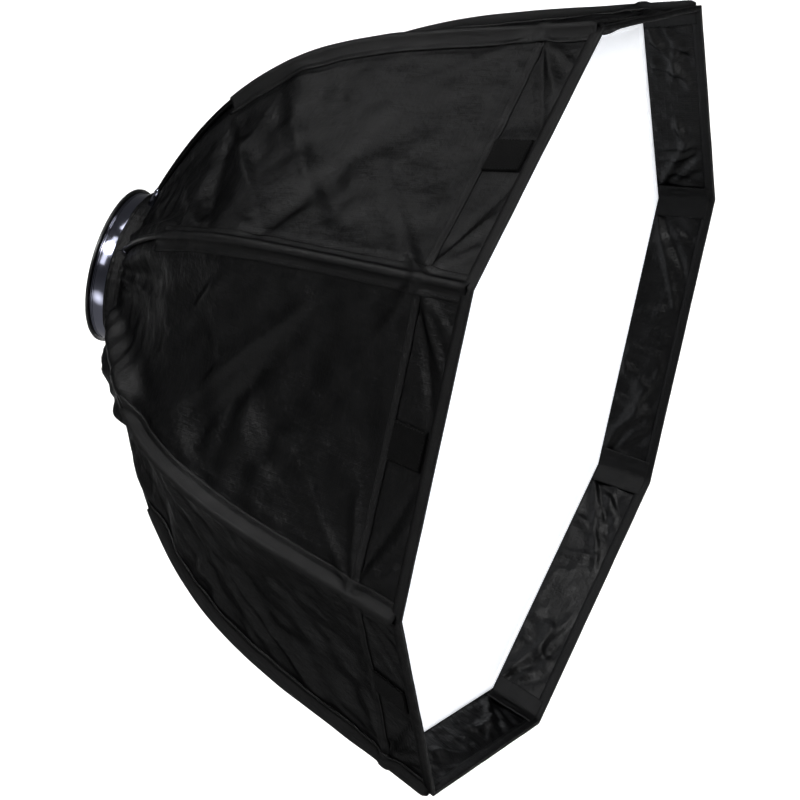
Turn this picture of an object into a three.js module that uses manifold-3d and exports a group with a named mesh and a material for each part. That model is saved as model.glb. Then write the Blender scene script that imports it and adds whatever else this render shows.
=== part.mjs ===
// Octagonal studio softbox on a clamp-on speedring.
//
// Millimetres, +Z up. The lamp head plugs in from behind, along +Y, and the light leaves towards -Y.
// The origin is the centre of the speedring's rear opening, in the plane of its rear rim.
// "Depth" of a layer is how far it lies under the ridge of a rod sleeve, measured square to the rod line.
// Positions round the box are numbered clockwise as seen from the front, starting at the top.

import * as THREE from 'three';
import { mergeVertices } from 'three/addons/utils/BufferGeometryUtils.js';
import Module from 'manifold-3d';

const wasm = await Module();
wasm.setup();

// ---- Driving dimensions ----

const SIDES = 8;
const CLEAR = 0.3;              // gap kept between neighbouring solids

// Facets and steps of the curved solids.
const ROUND_STEPS = 48;         // round the speedring
const PIN_STEPS = 16;
const HOLE_STEPS = 12;
const PANEL_STEPS = 8;          // along the curved part of a panel
const SLEEVE_STEPS = 12;
const SLEEVE_ARC_STEPS = 3;
const ROD_STEPS = 16;
const ROD_ARC_STEPS = 4;
const LEVER_STEPS = 8;

// Rod line: the ridge of a sleeve, as a cubic curve of (distance from the axis, y).
const RIDGE_REAR = { r: 66, y: -22 };
const RIDGE_REAR_PULL = { r: 268, y: -112 };
const RIDGE_FRONT_PULL = { r: 266, y: -215 };
const RIDGE_FRONT = { r: 328, y: -382 };

const ROD_RADIUS = 2.5;
const ROD_FRONT_Y = -371.5;
const ROD_PLUGGED_LENGTH = 6.5; // part of a rod that sits in its hole in the rod ring
const TAPE = 1.2;               // sleeve tape thickness
const SHELL = 1.2;              // shell cloth thickness
const FACING = 1.0;             // lip facing, pocket and strip thickness

const PANEL_REAR_Y = -33;
const LIP_DEPTH = 43;           // front edge to front diffuser
const SLEEVE_HALF_WIDTH = 11;
const SLEEVE_REAR_Y = -98;
const SLEEVE_FRONT_Y = -370;
const POCKET_HALF_WIDTH = 14;
const POCKET_SETBACK = 6;       // from the front diffuser to a pocket's rear edge
const PATCH = { length: 33, width: 30, thick: 1.4, toEdge: 10 };
const BINDING = { width: 8, thick: 1.1 };
const LOOP_STRIP = { width: 14, thick: 1.2 };

const DIFFUSER_THICK = 1.6;
const DIFFUSER_EASE = 1;        // how far the front diffuser's corners stay short of the pockets
const INNER_DIFFUSER_Y = -190;
const INNER_DIFFUSER_MARGIN = 10;

// Speedring, from the lamp head outwards.
const BORE_RADIUS = 50;
const LINER_THICK = 1.5;
const COLLAR_WALL = 2.2;
const RIM_RADIUS = 62;
const RIM_THICK = 2.5;
const BAND_RADIUS = 59.5;
const BAND_FRONT_Y = -16.5;
const BEARING_THICK = 1.4;
const ROD_RING_RADIUS = 62;
const ROD_RING_FRONT_Y = -37;
const RETAINER_STEP = 2;        // how far the retaining ring stays inside the rod ring's outline
const COLLAR_FRONT_Y = -40.5;
const NECK_HEM = { width: 14.5, thick: 1.8 };

// Clamp on the far side of the speedring.
const PIN = { x: 66, radius: 1.5, rearY: -3.8, frontY: -15.2 };
const LEVER = { thick: 3, width: 5.6, eyeRadius: 3.3, bend: [64.5, 24], tip: [50, 42] };
const BLOCK = { halfHeight: 4.6, base: 2.2, outerX: 69.2, slotHalf: 3.2 };

const CUT_REACH = 500;          // longer than the box, for wedges and slabs that cut it up
const HOLE_OVERRUN = 1;         // how far a drilled hole runs past the solid it goes through

// ---- Worked-out values ----

const STEP = (2 * Math.PI) / SIDES;
const HALF_STEP = STEP / 2;
const ROD_DEPTH = TAPE + CLEAR + ROD_RADIUS;
const SHELL_OUT = ROD_DEPTH + ROD_RADIUS + CLEAR;
const SHELL_IN = SHELL_OUT + SHELL;
const FACING_OUT = SHELL_IN + CLEAR;
const FACING_IN = FACING_OUT + FACING;
const POCKET_OUT = FACING_IN + CLEAR;
const POCKET_IN = POCKET_OUT + FACING;
const EDGE_Y = RIDGE_FRONT.y;
const DIFFUSER_Y = EDGE_Y + LIP_DEPTH;
const COLLAR_IN = BORE_RADIUS + LINER_THICK + CLEAR;
const COLLAR_OUT = COLLAR_IN + COLLAR_WALL;
const BEARING_IN = COLLAR_OUT + CLEAR;
const ROD_RING_IN = BEARING_IN + BEARING_THICK + CLEAR;
const BAND_MID_Y = (PIN.rearY + PIN.frontY) / 2;

// ---- Rod line and its layers ----

const ridge = new THREE.CubicBezierCurve(
  new THREE.Vector2(RIDGE_REAR.r, RIDGE_REAR.y),
  new THREE.Vector2(RIDGE_REAR_PULL.r, RIDGE_REAR_PULL.y),
  new THREE.Vector2(RIDGE_FRONT_PULL.r, RIDGE_FRONT_PULL.y),
  new THREE.Vector2(RIDGE_FRONT.r, RIDGE_FRONT.y),
);

/** Point (distance from axis, y) on the layer at a depth under the ridge; straight on past both ends. */
function layerPoint(t, depth) {
  const inside = THREE.MathUtils.clamp(t, 0, 1);
  const tangent = ridge.getTangent(inside);
  const point = ridge.getPoint(inside);
  point.addScaledVector(tangent, (t - inside) * ridge.getLength());
  return point.add(new THREE.Vector2(tangent.y, -tangent.x).multiplyScalar(depth));
}

/** Curve parameter where a layer reaches a given y. */
function parameterAtY(y, depth) {
  let rear = -0.2;
  let front = 1.2;
  for (let i = 0; i < 40; i += 1) {
    const middle = (rear + front) / 2;
    if (layerPoint(middle, depth).y > y) rear = middle;
    else front = middle;
  }
  return (rear + front) / 2;
}

/** Evenly stepped points along a layer between two y values. */
function layerLine(depth, rearY, frontY, steps) {
  const rear = parameterAtY(rearY, depth);
  const front = parameterAtY(frontY, depth);
  const points = [];
  for (let i = 0; i <= steps; i += 1) {
    points.push(layerPoint(THREE.MathUtils.lerp(rear, front, i / steps), depth));
  }
  return points;
}

/** The same layer as a path in the Y-Z plane, for sweeping a section along it. */
class LayerPath extends THREE.Curve {
  constructor(depth, startT, endT) {
    super();
    this.depth = depth;
    this.startT = startT;
    this.endT = endT;
  }

  getPoint(u, target = new THREE.Vector3()) {
    const p = layerPoint(THREE.MathUtils.lerp(this.startT, this.endT, u), this.depth);
    return target.set(0, p.y, p.x);
  }
}

// ---- Solids ----

/** Position-only closed geometry with its faces pointing out. */
function closed(geometry) {
  const plain = geometry.clone();
  plain.deleteAttribute('normal');
  plain.deleteAttribute('uv');
  const merged = mergeVertices(plain, 1e-4);
  const position = merged.attributes.position;
  const index = Array.from(merged.index.array);
  const faces = [];
  let volume = 0;
  const [a, b, c] = [new THREE.Vector3(), new THREE.Vector3(), new THREE.Vector3()];
  for (let i = 0; i < index.length; i += 3) {
    const face = index.slice(i, i + 3);
    if (new Set(face).size < 3) continue;
    faces.push(face);
    a.fromBufferAttribute(position, face[0]);
    b.fromBufferAttribute(position, face[1]);
    c.fromBufferAttribute(position, face[2]);
    volume += a.dot(b.cross(c));
  }
  merged.setIndex((volume < 0 ? faces.map(([p, q, r]) => [p, r, q]) : faces).flat());
  return merged;
}

function toManifold(geometry) {
  const solid = closed(geometry);
  return new wasm.Manifold(new wasm.Mesh({
    numProp: 3,
    vertProperties: new Float32Array(solid.attributes.position.array),
    triVerts: new Uint32Array(solid.index.array),
  }));
}

function fromManifold(solid) {
  const mesh = solid.getMesh();
  const geometry = new THREE.BufferGeometry();
  geometry.setAttribute('position', new THREE.BufferAttribute(mesh.vertProperties, 3));
  geometry.setIndex(new THREE.BufferAttribute(mesh.triVerts, 1));
  return geometry;
}

/** Ring turned about the Y axis from a closed outline of (radius, y) points. */
function turned(outline, segments, startAngle = 0) {
  const points = outline.map(([r, y]) => new THREE.Vector2(r, y));
  points.push(points[0].clone());
  return closed(new THREE.LatheGeometry(points, segments, startAngle));
}

function roundRing(innerR, outerR, rearY, frontY) {
  return turned([[innerR, rearY], [innerR, frontY], [outerR, frontY], [outerR, rearY]], ROUND_STEPS);
}

/** Eight-sided shell between two layers of the rod line. */
function octagonShell(outDepth, inDepth, rearY, frontY, steps) {
  const outside = layerLine(outDepth, rearY, frontY, steps);
  const inside = layerLine(inDepth, rearY, frontY, steps).reverse();
  return turned([...outside, ...inside].map((p) => [p.x, p.y]), SIDES, HALF_STEP);
}

/** Flat eight-sided sheet across the box, with its corners on the rod planes. */
function octagonSheet(cornerR, rearY, thick) {
  const frontY = rearY - thick;
  const half = [[0, frontY], [cornerR, frontY], [cornerR, rearY], [0, rearY]];
  const points = half.map(([r, y]) => new THREE.Vector2(r, y));
  return closed(new THREE.LatheGeometry(points, SIDES, HALF_STEP));
}

/** Wedge about one panel's middle, just short of the rod planes on both sides. */
function panelWedge() {
  const apex = CLEAR / 2 / Math.sin(HALF_STEP);
  const spread = CUT_REACH * Math.tan(HALF_STEP);
  const outline = new THREE.Shape([
    new THREE.Vector2(0, apex),
    new THREE.Vector2(-spread, apex + CUT_REACH),
    new THREE.Vector2(spread, apex + CUT_REACH),
  ]);
  const wedge = new THREE.ExtrudeGeometry(outline, { depth: 2 * CUT_REACH, bevelEnabled: false });
  wedge.translate(0, 0, -CUT_REACH);
  return wedge.rotateX(Math.PI / 2);
}

/** Slab about one rod plane, as wide as a pocket. */
function pocketSlab() {
  const slab = new THREE.BoxGeometry(2 * POCKET_HALF_WIDTH, 2 * CUT_REACH, CUT_REACH);
  return slab.translate(0, 0, CUT_REACH / 2);
}

// ---- Cloth shell ----

function sidePanel() {
  const curved = octagonShell(SHELL_OUT, SHELL_IN, PANEL_REAR_Y, DIFFUSER_Y, PANEL_STEPS);
  const lip = octagonShell(SHELL_OUT, SHELL_IN, DIFFUSER_Y, EDGE_Y, 1);
  const whole = toManifold(curved).add(toManifold(lip));
  return fromManifold(whole.intersect(toManifold(panelWedge())));
}

/** Hollow ridge of tape over a rod, with a flat wing sewn to the panel on each side. */
function rodSleeve() {
  const start = parameterAtY(SLEEVE_REAR_Y, ROD_DEPTH);
  const end = parameterAtY(SLEEVE_FRONT_Y, ROD_DEPTH);
  const path = new LayerPath(ROD_DEPTH, start, end);
  // The panels fall away least where the rod line is steepest, at the sleeve's rear end.
  const slope = Math.tan(HALF_STEP) * -ridge.getTangent(start).y;
  const wing = (x) => x * slope + ROD_RADIUS;
  const innerR = ROD_RADIUS + CLEAR;
  const outerR = innerR + TAPE;
  const reach = SLEEVE_HALF_WIDTH * Math.cos(HALF_STEP);
  const wingFrom = outerR + CLEAR;
  // Section: x across the sleeve, +y towards the inside of the box.
  const outline = new THREE.Shape();
  outline.moveTo(-reach, wing(reach));
  outline.lineTo(-reach, wing(reach) - TAPE);
  outline.lineTo(-wingFrom, wing(wingFrom) - TAPE);
  outline.absarc(0, 0, outerR, Math.PI, 2 * Math.PI, false);
  outline.lineTo(wingFrom, wing(wingFrom) - TAPE);
  outline.lineTo(reach, wing(reach) - TAPE);
  outline.lineTo(reach, wing(reach));
  outline.lineTo(innerR, wing(innerR));
  outline.absarc(0, 0, innerR, 0, Math.PI, true);
  outline.lineTo(-innerR, wing(innerR));
  return closed(new THREE.ExtrudeGeometry(outline, {
    steps: SLEEVE_STEPS, curveSegments: SLEEVE_ARC_STEPS, extrudePath: path, bevelEnabled: false,
  }));
}

/** Doubled cloth inside the lip that holds a rod's front end. */
function cornerPocket() {
  const rearY = DIFFUSER_Y - POCKET_SETBACK;
  const frontY = EDGE_Y + BINDING.width + CLEAR;
  const ring = octagonShell(POCKET_OUT, POCKET_IN, rearY, frontY, 1).rotateY(HALF_STEP);
  return fromManifold(toManifold(ring).intersect(toManifold(pocketSlab())));
}

/** Hook-and-loop patch near the front edge of a panel, for an egg-crate grid. */
function gridPatch() {
  const frontY = EDGE_Y + PATCH.toEdge;
  const [rear, front] = layerLine(SHELL_OUT, DIFFUSER_Y, EDGE_Y, 1);
  const direction = front.clone().sub(rear).normalize();
  const along = (rear.y - frontY) / -direction.y - PATCH.length / 2;
  const middle = rear.clone().addScaledVector(direction, along);
  const patch = new THREE.BoxGeometry(PATCH.width, PATCH.length, PATCH.thick);
  const flat = Math.cos(HALF_STEP);
  const lean = Math.atan2(direction.x * flat, -direction.y);
  patch.rotateX(-lean);
  const lift = CLEAR + PATCH.thick / 2;
  return patch.translate(0, middle.y + lift * Math.sin(lean), middle.x * flat + lift * Math.cos(lean));
}

function lipFacing() {
  return octagonShell(FACING_OUT, FACING_IN, DIFFUSER_Y - CLEAR, EDGE_Y, 1);
}

function loopStrip() {
  const rearY = DIFFUSER_Y + LOOP_STRIP.width;
  return octagonShell(FACING_OUT, FACING_OUT + LOOP_STRIP.thick, rearY, DIFFUSER_Y + CLEAR, 1);
}

/** Folded tape round the front edge: it wraps the shell, the facing and the edge itself. */
function edgeBinding() {
  const outTop = SHELL_OUT - CLEAR - BINDING.thick;
  const inTop = FACING_IN + CLEAR + BINDING.thick;
  const rearY = EDGE_Y + BINDING.width;
  const at = (depth, y) => {
    const p = layerPoint(parameterAtY(y, depth), depth);
    return [p.x, p.y];
  };
  const faceY = EDGE_Y - CLEAR;
  return turned([
    at(outTop, rearY), at(outTop, faceY - BINDING.thick),
    at(inTop, faceY - BINDING.thick), at(inTop, rearY),
    at(inTop - BINDING.thick, rearY), at(inTop - BINDING.thick, faceY),
    at(outTop + BINDING.thick, faceY), at(outTop + BINDING.thick, rearY),
  ], SIDES, HALF_STEP);
}

/** Gathered neck of the shell, drawn round the rod ring, with an eyelet for each rod. */
function neckHem() {
  const innerR = ROD_RING_RADIUS + CLEAR;
  const rearY = BAND_FRONT_Y;
  return withRodHoles(roundRing(innerR, innerR + NECK_HEM.thick, rearY, rearY - NECK_HEM.width));
}

function frontDiffuser() {
  const corner = layerPoint(parameterAtY(DIFFUSER_Y, POCKET_IN), POCKET_IN).x;
  return octagonSheet(corner - DIFFUSER_EASE, DIFFUSER_Y - CLEAR, DIFFUSER_THICK);
}

function innerDiffuser() {
  const depth = SHELL_IN + INNER_DIFFUSER_MARGIN;
  const corner = layerPoint(parameterAtY(INNER_DIFFUSER_Y, depth), depth).x;
  return octagonSheet(corner, INNER_DIFFUSER_Y, DIFFUSER_THICK);
}

// ---- Rods and speedring ----

function rodStart() {
  return -ROD_PLUGGED_LENGTH / ridge.getLength();
}

function springRod() {
  const path = new LayerPath(ROD_DEPTH, rodStart(), parameterAtY(ROD_FRONT_Y, ROD_DEPTH));
  const section = new THREE.Shape().absarc(0, 0, ROD_RADIUS, 0, 2 * Math.PI, false);
  return closed(new THREE.ExtrudeGeometry(section, {
    steps: ROD_STEPS, curveSegments: ROD_ARC_STEPS, extrudePath: path, bevelEnabled: false,
  }));
}

/** A ring round the axis, cut by a slanted hole for each rod. */
function withRodHoles(ringGeometry) {
  const length = 2 * ROD_PLUGGED_LENGTH;
  const hole = new THREE.CylinderGeometry(ROD_RADIUS + CLEAR, ROD_RADIUS + CLEAR, length, HOLE_STEPS);
  const bottom = layerPoint(rodStart(), ROD_DEPTH);
  const outward = ridge.getTangent(0);
  hole.rotateX(Math.atan2(outward.x, outward.y));
  const toCentre = length / 2 - CLEAR;
  hole.translate(0, bottom.y + outward.y * toCentre, bottom.x + outward.x * toCentre);
  let ring = toManifold(ringGeometry);
  for (let i = 0; i < SIDES; i += 1) {
    ring = ring.subtract(toManifold(hole.clone().rotateY(HALF_STEP + i * STEP)));
  }
  return fromManifold(ring);
}

function rodRing() {
  return withRodHoles(roundRing(ROD_RING_IN, ROD_RING_RADIUS, BAND_FRONT_Y - CLEAR, ROD_RING_FRONT_Y));
}

function mountCollar() {
  const lipIn = BORE_RADIUS + CLEAR;
  return turned([
    [lipIn, 0], [lipIn, -RIM_THICK], [COLLAR_IN, -RIM_THICK], [COLLAR_IN, COLLAR_FRONT_Y],
    [COLLAR_OUT, COLLAR_FRONT_Y], [COLLAR_OUT, -RIM_THICK], [RIM_RADIUS, -RIM_THICK], [RIM_RADIUS, 0],
  ], ROUND_STEPS);
}

function gripLiner() {
  return roundRing(BORE_RADIUS, BORE_RADIUS + LINER_THICK, -RIM_THICK - CLEAR, COLLAR_FRONT_Y);
}

function polishedBand() {
  return roundRing(BEARING_IN, BAND_RADIUS, -RIM_THICK - CLEAR, BAND_FRONT_Y);
}

function swivelBearing() {
  return roundRing(BEARING_IN, BEARING_IN + BEARING_THICK, BAND_FRONT_Y - CLEAR, ROD_RING_FRONT_Y);
}

function retainingRing() {
  return roundRing(BEARING_IN, ROD_RING_RADIUS - RETAINER_STEP, ROD_RING_FRONT_Y - CLEAR, COLLAR_FRONT_Y);
}

// ---- Clamp ----

function pinCylinder(radius, rearY, frontY) {
  const pin = new THREE.CylinderGeometry(radius, radius, rearY - frontY, PIN_STEPS);
  return pin.translate(PIN.x, (rearY + frontY) / 2, 0);
}

function leverPin() {
  return closed(pinCylinder(PIN.radius, PIN.rearY, PIN.frontY));
}

function pinHole() {
  return pinCylinder(PIN.radius + CLEAR, PIN.rearY + HOLE_OVERRUN, PIN.frontY - HOLE_OVERRUN);
}

/** Fork on the band that carries the lever's pin. */
function clampBlock() {
  const baseX = BAND_RADIUS + CLEAR;
  const width = PIN.rearY - PIN.frontY;
  const body = new THREE.BoxGeometry(BLOCK.outerX - baseX, width, 2 * BLOCK.halfHeight);
  body.translate((BLOCK.outerX + baseX) / 2, BAND_MID_Y, 0);
  const slot = new THREE.BoxGeometry(BLOCK.outerX, 2 * BLOCK.slotHalf, 4 * BLOCK.halfHeight);
  slot.translate(baseX + BLOCK.base + BLOCK.outerX / 2, BAND_MID_Y, 0);
  return fromManifold(toManifold(body).subtract(toManifold(slot)).subtract(toManifold(pinHole())));
}

/** Curved cam lever that lies along the band when the clamp is shut. */
function clampLever() {
  const path = new THREE.QuadraticBezierCurve3(
    new THREE.Vector3(PIN.x, BAND_MID_Y, BLOCK.slotHalf),
    new THREE.Vector3(LEVER.bend[0], BAND_MID_Y, LEVER.bend[1]),
    new THREE.Vector3(LEVER.tip[0], BAND_MID_Y, LEVER.tip[1]),
  );
  const section = new THREE.Shape();
  const halfThick = LEVER.thick / 2;
  const halfWidth = LEVER.width / 2;
  section.moveTo(-halfThick, -halfWidth);
  section.lineTo(halfThick, -halfWidth);
  section.lineTo(halfThick, halfWidth);
  section.lineTo(-halfThick, halfWidth);
  const bar = new THREE.ExtrudeGeometry(section, {
    steps: LEVER_STEPS, extrudePath: path, bevelEnabled: false,
  });
  const eye = pinCylinder(LEVER.eyeRadius, BAND_MID_Y + halfWidth, BAND_MID_Y - halfWidth);
  return fromManifold(toManifold(bar).add(toManifold(eye)).subtract(toManifold(pinHole())));
}

// ---- Materials ----

const finishes = {
  blackCloth: { color: 0x121214, roughness: 0.62, metalness: 0 },
  blackTape: { color: 0x0c0c0d, roughness: 0.75, metalness: 0 },
  hookTape: { color: 0x080808, roughness: 0.95, metalness: 0 },
  whiteCloth: { color: 0xf4f6fa, roughness: 0.85, metalness: 0 },
  rodSteel: { color: 0x3a3b3d, roughness: 0.35, metalness: 0.8 },
  blackMetal: { color: 0x151517, roughness: 0.45, metalness: 0.4 },
  polished: { color: 0xd8dbe0, roughness: 0.12, metalness: 1 },
  rubber: { color: 0x1a1a1a, roughness: 0.9, metalness: 0 },
  bearing: { color: 0xcfcfca, roughness: 0.55, metalness: 0 },
};

// ---- Assembly ----

const softbox = new THREE.Group();

function addPiece(name, geometry, finish, angle = 0) {
  const mesh = new THREE.Mesh(geometry, new THREE.MeshStandardMaterial(finishes[finish]));
  mesh.name = name;
  mesh.rotation.y = angle;
  softbox.add(mesh);
}

/** One named copy on each panel (offset 0) or on each rod plane (offset half a step). */
function addRound(name, geometry, finish, offset) {
  for (let i = 0; i < SIDES; i += 1) {
    addPiece(`${name}_${i + 1}`, geometry, finish, offset + i * STEP);
  }
}

addPiece('mount_collar', mountCollar(), 'blackMetal');
addPiece('grip_liner', gripLiner(), 'rubber');
addPiece('polished_band', polishedBand(), 'polished');
addPiece('swivel_bearing', swivelBearing(), 'bearing');
addPiece('retaining_ring', retainingRing(), 'blackMetal');
addPiece('clamp_block', clampBlock(), 'blackMetal');
addPiece('lever_pin', leverPin(), 'polished');
addPiece('clamp_lever', clampLever(), 'blackMetal');
addPiece('rod_ring', rodRing(), 'blackMetal');
addPiece('neck_hem', neckHem(), 'blackTape');
addPiece('lip_facing', lipFacing(), 'blackCloth');
addPiece('loop_strip', loopStrip(), 'hookTape');
addPiece('edge_binding', edgeBinding(), 'blackTape');
addPiece('front_diffuser', frontDiffuser(), 'whiteCloth');
addPiece('inner_diffuser', innerDiffuser(), 'whiteCloth');
addRound('side_panel', sidePanel(), 'blackCloth', 0);
addRound('grid_patch', gridPatch(), 'hookTape', 0);
addRound('rod', springRod(), 'rodSteel', HALF_STEP);
addRound('rod_sleeve', rodSleeve(), 'blackTape', HALF_STEP);
addRound('corner_pocket', cornerPocket(), 'blackTape', HALF_STEP);

export default softbox;
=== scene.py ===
"""Octagonal studio softbox: cloth, trims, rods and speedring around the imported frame.

Metres, +Z up, origin at the centre of the speedring's rear opening; light leaves towards -Y.
Places round the box are numbered clockwise from the top, as seen from the front.
"""
import bpy
import bmesh
import math
import numpy as np
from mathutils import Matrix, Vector


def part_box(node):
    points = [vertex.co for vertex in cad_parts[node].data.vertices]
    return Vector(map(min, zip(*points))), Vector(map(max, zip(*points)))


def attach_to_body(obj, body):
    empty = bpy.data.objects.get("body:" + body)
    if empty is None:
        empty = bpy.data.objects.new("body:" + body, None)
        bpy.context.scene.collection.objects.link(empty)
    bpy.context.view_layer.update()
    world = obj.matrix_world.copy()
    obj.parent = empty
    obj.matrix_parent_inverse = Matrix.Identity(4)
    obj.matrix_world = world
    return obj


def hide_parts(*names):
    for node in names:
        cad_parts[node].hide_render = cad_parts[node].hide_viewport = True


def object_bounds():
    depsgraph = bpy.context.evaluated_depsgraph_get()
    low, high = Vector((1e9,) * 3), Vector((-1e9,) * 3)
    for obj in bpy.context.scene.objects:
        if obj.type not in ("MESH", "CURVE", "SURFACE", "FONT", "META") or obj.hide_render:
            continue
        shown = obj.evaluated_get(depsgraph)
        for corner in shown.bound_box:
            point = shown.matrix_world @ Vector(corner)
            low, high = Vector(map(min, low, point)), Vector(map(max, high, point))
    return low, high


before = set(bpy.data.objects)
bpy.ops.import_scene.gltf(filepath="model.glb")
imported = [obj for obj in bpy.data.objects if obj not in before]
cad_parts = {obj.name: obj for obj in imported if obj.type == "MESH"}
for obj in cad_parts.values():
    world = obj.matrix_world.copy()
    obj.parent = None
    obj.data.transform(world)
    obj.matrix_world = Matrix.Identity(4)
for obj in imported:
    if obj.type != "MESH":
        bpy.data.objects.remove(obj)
cad_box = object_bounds()

MM = 0.001
SIDES = 8
STEP = 2 * math.pi / SIDES
HALF = STEP / 2

# ---- Rod line ----

# Control points of the cubic that a sleeve's ridge follows, as (distance from the axis, y).
RIDGE = np.array([(66, -22), (268, -112), (266, -215), (328, -382)]) * MM
T_LOW, T_HIGH = -0.2, 1.2  # The line runs on straight beyond its ends at 0 and 1, as far as these.
END_RUN = 0.46  # Metres per unit of t on those straight runs.
ROD_R = 2.5 * MM
# Depths under the ridge: the rod's middle, the panels' corners and the lip's inner cloth.
ROD_DEPTH = 4.0 * MM
CLOTH_DEPTH = 6.9 * MM
FACING_DEPTH = 8.9 * MM
EDGE_Y = RIDGE[3][1]
SEAM_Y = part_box("lip_facing")[1][1]
NECK_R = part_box("neck_hem")[1][2]
NECK_REAR_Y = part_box("neck_hem")[1][1]
SLEEVE_REAR_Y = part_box("rod_sleeve_1")[1][1]


def ridge(t):
    """(r, y) of the ridge at t, and its unit tangent."""
    t = np.asarray(t, float)[..., None]
    inside = np.clip(t, 0, 1)
    u = 1 - inside
    a, b, c, d = RIDGE
    point = u**3 * a + 3 * u * u * inside * b + 3 * u * inside**2 * c + inside**3 * d
    slope = 3 * u * u * (b - a) + 6 * u * inside * (c - b) + 3 * inside**2 * (d - c)
    tangent = slope / np.linalg.norm(slope, axis=-1, keepdims=True)
    return point + (t - inside) * tangent * END_RUN, tangent


def layer(t, depth=CLOTH_DEPTH):
    """(r, y) of the layer at a depth under the ridge, and its tangent."""
    point, tangent = ridge(t)
    inward = np.stack([tangent[..., 1], -tangent[..., 0]], -1)
    return point + inward * np.asarray(depth)[..., None], tangent


def t_at_y(y, depth=CLOTH_DEPTH):
    """Parameter at which the layer at a depth reaches y, found by halving."""
    rear, front = T_LOW, T_HIGH
    for _ in range(40):
        middle = (rear + front) / 2
        if layer(middle, depth)[0][1] > y:
            rear = middle
        else:
            front = middle
    return (rear + front) / 2


def running_length(points):
    """Distance along a row of points from its first point to each one."""
    return np.concatenate([[0], np.cumsum(np.linalg.norm(np.diff(points, axis=0), axis=1))])


def arc_length(t):
    """Distance along the panels' corners, from t = 0."""
    steps = np.linspace(T_LOW, T_HIGH, 600)
    run = running_length(layer(steps)[0])
    return np.interp(t, steps, run) - np.interp(0.0, steps, run)


def smooth(low, high, x):
    """Smooth step from 0 at low to 1 at high."""
    x = np.clip((x - low) / (high - low), 0, 1)
    return x * x * (3 - 2 * x)


def bump(x):
    """Bell curve, 1 in the middle and about 0.02 at 2."""
    return np.exp(-x * x)


def place(radial, tangential, y, angle):
    """World points from a radial and a tangential distance at an angle from +Z towards +X."""
    radial, tangential, y = np.broadcast_arrays(radial, tangential, y)
    x = radial * math.sin(angle) + tangential * math.cos(angle)
    z = radial * math.cos(angle) - tangential * math.sin(angle)
    return np.stack([x, y, z], -1)


def value_noise(x, y, seed):
    """Smooth random field of about -1 to 1, one cell per unit."""
    table = np.random.default_rng(seed).uniform(-1, 1, (64, 64))
    xi, yi = np.floor(x).astype(int), np.floor(y).astype(int)
    fx, fy = smooth(0, 1, x - xi), smooth(0, 1, y - yi)

    def at(i, j):
        return table[i % 64, j % 64]

    low = at(xi, yi) * (1 - fx) + at(xi + 1, yi) * fx
    high = at(xi, yi + 1) * (1 - fx) + at(xi + 1, yi + 1) * fx
    return low * (1 - fy) + high * fy


# ---- Mesh helpers ----


def add_object(name, data):
    obj = bpy.data.objects.new(name, data)
    bpy.context.scene.collection.objects.link(obj)
    return obj


def make_object(name, vertices, faces, material, uvs=None):
    """Smooth-shaded object, of one material or a list, with one UV for each vertex where given."""
    mesh = bpy.data.meshes.new(name)
    mesh.from_pydata(np.asarray(vertices).reshape(-1, 3).tolist(), [], faces)
    if uvs is not None:
        layer_uv = mesh.uv_layers.new(name="cut")
        loops = np.empty(len(mesh.loops), int)
        mesh.loops.foreach_get("vertex_index", loops)
        layer_uv.data.foreach_set("uv", np.asarray(uvs).reshape(-1, 2)[loops].ravel())
    for each in material if isinstance(material, list) else [material]:
        mesh.materials.append(each)
    mesh.shade_smooth()
    mesh.update()
    return add_object(name, mesh)


def grid_faces(rows, columns, wrap=False, flip=False):
    """Quads of a grid of points, closed round its columns with wrap, facing the other way with flip."""
    faces = []
    last = columns if wrap else columns - 1
    for i in range(rows - 1):
        for j in range(last):
            k = (j + 1) % columns
            quad = (i * columns + j, i * columns + k, (i + 1) * columns + k, (i + 1) * columns + j)
            faces.append(quad if flip else quad[::-1])
    return faces


def uv_grid(rows, columns):
    """UVs of a grid of points, in metres, from the places of its rows and of its columns."""
    return np.stack(np.broadcast_arrays(rows, columns), -1)


def attach(obj, body, node=None):
    """Ride on a body, and stand for a node where one is named."""
    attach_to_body(obj, body)
    if node:
        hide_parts(node)


def cloth_piece(name, points, uvs, materials, thick, node=None, wrap=False, flip=False,
                body="box"):
    """Grid of points (rows, columns, 3) with a thickness under its outer side.

    The last material lines it. Its flat size is measured over its own surface.
    """
    rows, columns = points.shape[:2]
    obj = make_object(name, points, grid_faces(rows, columns, wrap, flip), materials, uvs)
    solid = obj.modifiers.new("thickness", "SOLIDIFY")
    solid.thickness = thick
    solid.offset = -1
    solid.material_offset = len(materials) - 1
    solid.material_offset_rim = 0
    if wrap:
        points = np.concatenate([points, points[:, :1]], 1)
    attach(obj, body, node)


def rounded(outline, radius, steps=3):
    """Closed outline with its corners turned into short arcs."""
    points = [np.array(p, float) for p in outline]
    result = []
    for i, corner in enumerate(points):
        before = points[i - 1] - corner
        after = points[(i + 1) % len(points)] - corner
        cut = min(radius, np.linalg.norm(before) * 0.45, np.linalg.norm(after) * 0.45)
        start = corner + before / np.linalg.norm(before) * cut
        end = corner + after / np.linalg.norm(after) * cut
        for k in range(steps + 1):
            f = k / steps
            result.append((1 - f) ** 2 * start + 2 * f * (1 - f) * corner + f * f * end)
    return np.array(result)


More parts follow.
